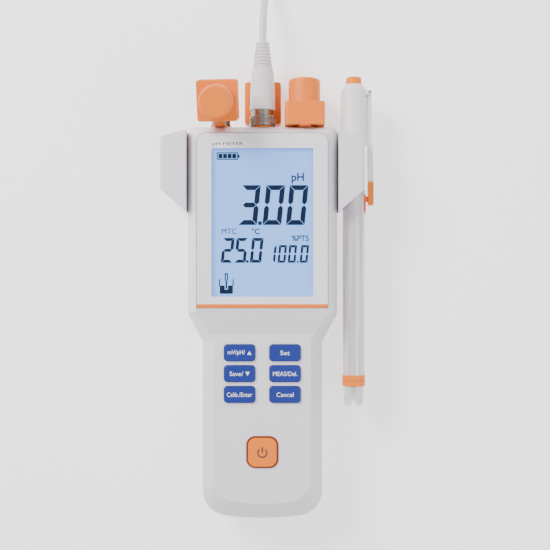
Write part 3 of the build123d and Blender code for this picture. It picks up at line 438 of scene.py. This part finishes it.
class METER_OT_window(bpy.types.Operator):
    """Finish the window, its stripe and the header print"""
    bl_idname = "meter.window"
    bl_label = "Window"

    def execute(self, context):
        gloss = moulded("window_gloss", tuple(colours().window), 0.22, depth=PRINT_GRAIN,
                        mottle=0.015, coat=0.5)
        paint(gloss, "window_panel")
        stripe = moulded("stripe_gloss", tuple(colours().orange), 0.3, depth=PRINT_GRAIN, coat=0.3)
        paint(stripe, "orange_stripe")
        paint(clear("lens_clear", tint(150, 190, 255), 0.02, 0.03), "display_lens")
        low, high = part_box("window_panel")
        ink = moulded("header_ink", tint(24, 25, 30), 0.5)
        rise = high.z + sizes().print_rise
        lettering("header_print", "pH METER", "meter", ink, (low.x + 8.4 * MM, high.y - 5.9 * MM, rise),
                  1.7 * MM, 16.4 * MM, "LEFT", 0.0)
        return {"FINISHED"}


# ---------------------------------------------------------------- display
SEGMENTS = {
    "0": "abcdef", "1": "bc", "2": "abged", "3": "abgcd", "5": "afgcd",
}


def seven_segment(shape, digit, left, low, width, height, stroke, slant, floor, rise):
    """One slanted seven-segment digit: mitred bars with a thin gap between neighbours."""
    gap = stroke * 0.07
    half, middle = stroke / 2, height / 2
    across = [(gap, 0), (width - gap, 0), (width - stroke - gap, stroke), (stroke + gap, stroke)]
    upright = [(width, gap), (width - stroke, stroke + gap), (width - stroke, middle - half - gap),
               (width - half, middle - gap), (width, middle - half - gap)]
    centre = [(half + gap, middle), (stroke + gap, middle + half), (width - stroke - gap, middle + half),
              (width - half - gap, middle), (width - stroke - gap, middle - half),
              (stroke + gap, middle - half)]
    bars = {
        "a": [(x, height - y) for x, y in across],
        "b": [(x, height - y) for x, y in upright],
        "c": upright,
        "d": across,
        "e": [(width - x, y) for x, y in upright],
        "f": [(width - x, height - y) for x, y in upright],
        "g": centre,
    }
    for letter in SEGMENTS[digit]:
        slab(shape, [(left + x + slant * y, low + y) for x, y in bars[letter]], floor, floor + rise)


class METER_OT_display(bpy.types.Operator):
    """Finish the display and draw its digits and symbols"""
    bl_idname = "meter.display"
    bl_label = "Display"

    def execute(self, context):
        paint(screen("display_glow", tuple(colours().display)), "lcd_glass")
        paint(moulded("backlight_plastic", tint(235, 235, 235), 0.5), "backlight")
        paint(moulded("frame_plastic", tint(225, 225, 222), 0.5), "lcd_frame")
        ink = moulded("display_ink", tuple(colours().digits), 0.6, depth=0.000002, mottle=0.02, shine=0.0)
        low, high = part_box("display_lens")
        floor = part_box("lcd_glass")[1].z + 0.02 * MM
        rise = 0.06 * MM

        def at(x, y):
            return (low.x + x * MM, high.y - y * MM)

        def number(shape, digits, places, base, width, height, stroke):
            for digit, place in zip(digits, places):
                left, foot = at(place, base)
                seven_segment(shape, digit, left, foot, width * MM, height * MM, stroke, 0.10, floor, rise)

        def dot(shape, x, y, side):
            left, foot = at(x, y)
            step = side * MM
            slab(shape, [(left, foot), (left + step, foot), (left + step, foot + step), (left, foot + step)],
                 floor, floor + rise)

        def main_reading(shape):
            number(shape, "300", (14.2, 27.2, 39.7), 40.8, 10.0, 21.2, sizes().segment)
            dot(shape, 24.9, 40.8, 1.9)

        def temperature(shape):
            number(shape, "250", (4.9, 12.1, 20.4), 61.0, 6.1, 13.2, sizes().segment * 0.62)
            dot(shape, 18.5, 61.0, 1.3)

        def slope(shape):
            number(shape, "1000", (29.7, 35.2, 40.6, 47.0), 61.0, 4.2, 9.4, sizes().segment * 0.46)
            dot(shape, 45.6, 61.0, 0.9)

        def block(shape, corner, x, y, wide, tall):
            left, foot = corner[0] + x * MM, corner[1] + y * MM
            right, top = left + wide * MM, foot + tall * MM
            slab(shape, [(left, foot), (right, foot), (right, top), (left, top)], floor, floor + rise)

        def battery(shape):
            corner = at(2.8, 6.0)
            for frame_bar in ((0, 0, 11.4, 0.5), (0, 3.4, 11.4, 0.5), (0, 0, 0.5, 3.9), (10.9, 0, 0.5, 3.9),
                              (11.4, 1.1, 0.8, 1.5)):
                block(shape, corner, *frame_bar)
            for cell in range(4):
                block(shape, corner, 0.9 + cell * 2.45, 0.8, 2.1, 2.3)

        def beaker(shape):
            corner = at(3.9, 77.6)
            liquid = ((0.9, 0.0), (7.1, 0.0), (7.5, 0.5), (7.5, 4.4), (4.9, 4.4), (4.9, 2.2), (3.1, 2.2),
                      (3.1, 4.4), (0.5, 4.4), (0.5, 0.5))
            outline = [(corner[0] + x * MM, corner[1] + y * MM) for x, y in liquid]
            slab(shape, outline, floor, floor + rise)
            for line in ((0.1, 4.2, 0.55, 3.6), (7.35, 4.2, 0.55, 3.6), (3.1, 7.0, 0.6, 3.8),
                         (4.3, 7.0, 0.6, 3.8), (3.1, 10.4, 1.8, 0.6), (3.6, 2.7, 0.8, 4.4)):
                block(shape, corner, *line)

        for name, build in (("digits_main", main_reading), ("digits_temperature", temperature),
                            ("digits_slope", slope), ("battery_symbol", battery), ("beaker_symbol", beaker)):
            piece(name, "meter", ink, build)
        for name, words, x, y, height, span in (
            ("label_ph", "pH", 46.0, 15.9, 4.3, 6.6), ("label_mtc", "MTC", 9.3, 44.2, 2.9, 7.8),
            ("label_degree", "°C", 23.6, 44.2, 2.9, 4.4), ("label_pts", "%PTS", 47.4, 47.9, 2.9, 9.0),
        ):
            across, up = at(x, y)
            weight = 0.0 if "M" in words else 0.02
            lettering(name, words, "meter", ink, (across, up, floor + rise / 2), height * MM, span * MM,
                      "CENTER", weight)
        return {"FINISHED"}


# ---------------------------------------------------------------- keys
KEY_LEGENDS = {
    "key_up": ("mV/pH/", 9.2, "up"), "key_set": ("Set", 5.0, ""), "key_down": ("Save/", 7.2, "down"),
    "key_measure": ("MEAS/Del.", 13.0, ""), "key_enter": ("Calib./Enter", 13.6, ""),
    "key_cancel": ("Cancel", 9.2, ""),
}


def triangle(middle, size, up):
    """Outline of a small arrowhead."""
    x, y = middle
    tip = size * 0.5 if up else -size * 0.5
    return [(x - size * 0.55, y - tip), (x + size * 0.55, y - tip), (x, y + tip)]


class METER_OT_keys(bpy.types.Operator):
    """Finish the keys and print their legends"""
    bl_idname = "meter.keys"
    bl_label = "Keys"

    def execute(self, context):
        blue = moulded("key_blue", tuple(colours().keys), 0.38, depth=0.00001, coat=0.15)
        white = moulded("legend_white", tuple(colours().legends), 0.5)
        for name, (words, span, arrow) in KEY_LEGENDS.items():
            paint(blue, name)
            low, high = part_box(name)
            x, y = (low.x + high.x) / 2, (low.y + high.y) / 2
            top = high.z + sizes().print_rise
            shift = 1.7 * MM if arrow else 0.0
            lettering(name + "_legend", words, name, white, (x - shift, y, top),
                      sizes().legend_height, span * MM, "CENTER", 0.0)
            if arrow:
                spot = (x + (span / 2 + 1.0) * MM - shift * 0.2, y)
                mark = piece(name + "_arrow", name, white, lambda shape: slab(
                    shape, triangle(spot, 2.1 * MM, arrow == "up"), high.z, top))
        orange = rubber("power_orange", shade(colours().orange, 1.0), 0.42, 0.06)
        paint(orange, "power_key")
        # Painted shade: the rim's dark red-brown stands in for the shadow in the groove round the power key.
        paint(moulded("rim_painted_groove_shade", (0.26, 0.035, 0.003), 0.3), "power_key_rim")
        low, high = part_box("power_key")
        x, y = (low.x + high.x) / 2, (low.y + high.y) / 2
        grey = moulded("power_mark_grey", tint(72, 58, 56), 0.5)
        top = high.z + sizes().print_rise

        def mark(shape):
            slab(shape, ring_outline((x, y - 0.2 * MM), 2.75 * MM, 1.95 * MM, 128, 412, 28), high.z, top)
            half = 0.42 * MM
            slab(shape, [(x - half, y - 0.1 * MM), (x + half, y - 0.1 * MM),
                         (x + half, y + 2.9 * MM), (x - half, y + 2.9 * MM)], high.z, top)

        piece("power_mark", "power_key", grey, mark)
        return {"FINISHED"}


# ---------------------------------------------------------------- sockets, caps and plug
class METER_OT_sockets(bpy.types.Operator):
    """Finish the sockets, the rubber caps and the plug"""
    bl_idname = "meter.sockets"
    bl_label = "Sockets, Caps and Plug"

    def execute(self, context):
        silicone = rubber("cap_silicone", tuple(colours().orange), 0.5, 0.08, 0.00005)
        paint(silicone, "left_cap", "right_cap", "centre_cap", "cap_collars")
        nickel = metal("nickel", tint(150, 145, 138), 0.24)
        paint(nickel, "coupling_nut", "plug_body", "bnc_jack", "probe_jack")
        paint(moulded("socket_black", tint(38, 38, 40), 0.4), "power_jack")
        paint(metal("gilt_pin", tint(220, 180, 90), 0.2), "plug_pin")
        paint(rubber("boot_rubber", tuple(colours().lead), 0.5, 0.06), "plug_boot", "strain_relief")
        return {"FINISHED"}


# ---------------------------------------------------------------- electrode
class METER_OT_electrode(bpy.types.Operator):
    """Finish the electrode, its refill lever and its stopper"""
    bl_idname = "meter.electrode"
    bl_label = "Electrode"

    def execute(self, context):
        orange = rubber("electrode_orange", tuple(colours().orange), 0.4, 0.05)
        paint(orange, "electrode_cap", "electrode_ring", "refill_stopper")
        paint(moulded("head_plastic", tint(236, 231, 235), 0.36), "electrode_head", "refill_lever")
        # The grey-mauve streak colour is painted shade, taken from the shaft's shaded edges.
        paint(streaked_tube("shaft_pale", tuple(colours().shaft), tint(150, 134, 146)), "electrode_shaft")
        paint(clear("guard_clear", tint(222, 222, 224), 0.36, 0.1), "electrode_guard")
        paint(clear("stem_glass", tint(228, 232, 236), 0.30), "glass_stem")
        paint(moulded("wire_black", tint(24, 22, 24), 0.4), "inner_wire")
        paint(rubber("grommet_orange", tint(236, 84, 20)), "refill_grommet")
        paint(metal("steel", tint(190, 190, 190), 0.3), "lever_pin")
        return {"FINISHED"}


# ---------------------------------------------------------------- inside the case
class METER_OT_inside(bpy.types.Operator):
    """Finish what the case holds"""
    bl_idname = "meter.inside"
    bl_label = "Inside"

    def execute(self, context):
        steel = metal("screw_steel", tint(176, 176, 178), 0.32)
        paint(steel, "key_switches", "battery_contacts", "case_screws", "board_screws",
              "left_wing_screws", "right_wing_screws")
        paint(circuit("board_green", tint(20, 92, 52)), "main_board")
        paint(moulded("chip_black", tint(28, 28, 30), 0.5), "board_chips")
        paint(rubber("mat_grey", tint(150, 150, 152)), "key_mat")
        paint(moulded("cell_sleeve", tint(42, 52, 66), 0.3, coat=0.4), "batteries")
        return {"FINISHED"}


# ---------------------------------------------------------------- lead
LEAD_POINTS = [
    (0.0, 153.45, 19.0),
    (0.0, 164.5, 19.0),
    (0.8, 176.5, 14.5),
    (1.6, 189.0, 6.5),
    (2.0, 202.0, 2.1),
    (2.0, 214.0, 2.1),
]
COIL_RADII = [(1, 1), (0, 1), (-1, 1), (-1, 3), (0, 3), (1, 3)]


def coil_points(cable):
    """Turns of the coil: three outwards to inwards on the bench, then three back on top."""
    low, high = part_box("lead_coil")
    middle = (low + high) / 2
    base = (high.x - low.x) / 2 - 2 * cable
    points = []
    for turn, (row, level) in enumerate(COIL_RADII):
        after = COIL_RADII[min(turn + 1, len(COIL_RADII) - 1)]
        last = turn == len(COIL_RADII) - 1
        for step in range(TURN_STEPS):
            angle = 360.0 * step / TURN_STEPS
            if last and angle > 335:
                break
            share = min(1.0, max(0.0, (angle - 270) / 90))
            share = share * share * (3 - 2 * share)
            radius = base + cable * (row + (after[0] - row) * share)
            height = cable / 2 * (level + (after[1] - level) * share)
            turned = math.radians(angle)
            across, along = radius * math.cos(turned), radius * math.sin(turned)
            points.append((middle.x + across, middle.y + along, height))
    return points, middle, base + cable


class METER_OT_lead(bpy.types.Operator):
    """Lay the lead from the plug to its coil and connector"""
    bl_idname = "meter.lead"
    bl_label = "Lead"

    def execute(self, context):
        cable = sizes().cable
        turns, middle, outer = coil_points(cable)
        leave = math.radians(TAIL_ANGLE)
        last = Vector((middle.x + outer * math.cos(leave), middle.y + outer * math.sin(leave), 1.5 * cable))
        along = Vector((-math.sin(leave), math.cos(leave), 0))
        points = [tuple(value * MM for value in point) for point in LEAD_POINTS]
        points += turns[1:]
        points += [tuple(last + along * reach * MM) for reach in TAIL_REACHES]
        curve = bpy.data.curves.new("lead_cable", "CURVE")
        curve.dimensions = "3D"
        curve.bevel_depth = cable / 2
        curve.bevel_resolution = 6
        curve.use_fill_caps = True
        spline = curve.splines.new("NURBS")
        spline.points.add(len(points) - 1)
        for control, point in zip(spline.points, points):
            control.co = (*point, 1.0)
        spline.order_u = 3
        spline.use_endpoint_u = True
        spline.resolution_u = 6
        lead = bpy.data.objects.new("lead_cable", curve)
        bpy.context.scene.collection.objects.link(lead)
        curve.materials.append(rubber("lead_rubber", tuple(colours().lead), 0.48, 0.05))
        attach(lead, "meter")
        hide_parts("lead_tube", "lead_coil", "lead_tail")
        paint(rubber("connector_rubber", shade(colours().lead, 0.9), 0.5, 0.06), "lead_connector")
        paint(rubber("tie_black", tint(40, 40, 44), 0.7), "lead_tie")
        return {"FINISHED"}


# ---------------------------------------------------------------- stage
def area_light(name, place, aim, size, power):
    """A soft square light that looks at a point."""
    light = bpy.data.lights.new(name, "AREA")
    light.size = size
    light.energy = power
    lamp = bpy.data.objects.new(name, light)
    lamp.location = place
    lamp.rotation_euler = (Vector(aim) - Vector(place)).to_track_quat("-Z", "Y").to_euler()
    bpy.context.scene.collection.objects.link(lamp)


class METER_OT_stage(bpy.types.Operator):
    """Set the bench, the lights and the camera"""
    bl_idname = "meter.stage"
    bl_label = "Stage"

    def execute(self, context):
        mesh = bpy.data.meshes.new("bench")
        half = BENCH_HALF
        corners = [(-half, -half, 0), (half, -half, 0), (half, half, 0), (-half, half, 0)]
        mesh.from_pydata(corners, [], [(0, 1, 2, 3)])
        bench = bpy.data.objects.new("bench", mesh)
        bpy.context.scene.collection.objects.link(bench)
        mesh.materials.append(benchtop("bench_pale", (0.95, 0.95, 0.96)))
        world = bpy.data.worlds.new("studio")
        world.use_nodes = True
        world.node_tree.nodes["Background"].inputs["Color"].default_value = (1.0, 1.0, 1.0, 1.0)
        world.node_tree.nodes["Background"].inputs["Strength"].default_value = 0.85
        bpy.context.scene.world = world
        area_light("key_light", (-0.7, 0.7, 0.75), (0, 0, 0), 0.5, 19.0)
        area_light("fill_light", (0.7, -0.2, 0.9), (0, 0, 0), 0.9, 7.0)
        camera = bpy.data.cameras.new("camera")
        camera.sensor_width = 36.0
        camera.lens = 60.9
        camera.shift_y = 0.0236
        camera.clip_start = 0.01
        eye = bpy.data.objects.new("camera", camera)
        eye.location = (6.8 * MM, 18.8 * MM, 531 * MM)
        bpy.context.scene.collection.objects.link(eye)
        bpy.context.scene.camera = eye
        return {"FINISHED"}


class METER_PT_panel(bpy.types.Panel):
    """Lists the meter's settings and pieces"""
    bl_label = "Ph Meter"
    bl_idname = "METER_PT_panel"
    bl_space_type = "VIEW_3D"
    bl_region_type = "UI"
    bl_category = "Ph Meter"

    def draw(self, context):
        for group in (context.scene.meter_colours, context.scene.meter_sizes):
            column = self.layout.column(align=True)
            for name in group.__annotations__:
                column.prop(group, name)
        for operator in OPERATORS:
            self.layout.operator(operator.bl_idname)


OPERATORS = (
    METER_OT_stage, METER_OT_lead, METER_OT_case, METER_OT_window, METER_OT_display, METER_OT_keys,
    METER_OT_sockets, METER_OT_electrode, METER_OT_inside,
)
CLASSES = (MeterColours, MeterSizes, *OPERATORS, METER_PT_panel)


def register():
    """Register the classes and the scene's settings."""
    for known in CLASSES:
        bpy.utils.register_class(known)
    bpy.types.Scene.meter_colours = bpy.props.PointerProperty(type=MeterColours)
    bpy.types.Scene.meter_sizes = bpy.props.PointerProperty(type=MeterSizes)


def unregister():
    """Take the classes and the settings away again."""
    del bpy.types.Scene.meter_colours
    del bpy.types.Scene.meter_sizes
    for known in reversed(CLASSES):
        bpy.utils.unregister_class(known)


def main():
    """Build every piece in order."""
    register()
    for operator in OPERATORS:
        group, name = operator.bl_idname.split(".")
        getattr(getattr(bpy.ops, group), name)()


if __name__ == "__main__":
    main()
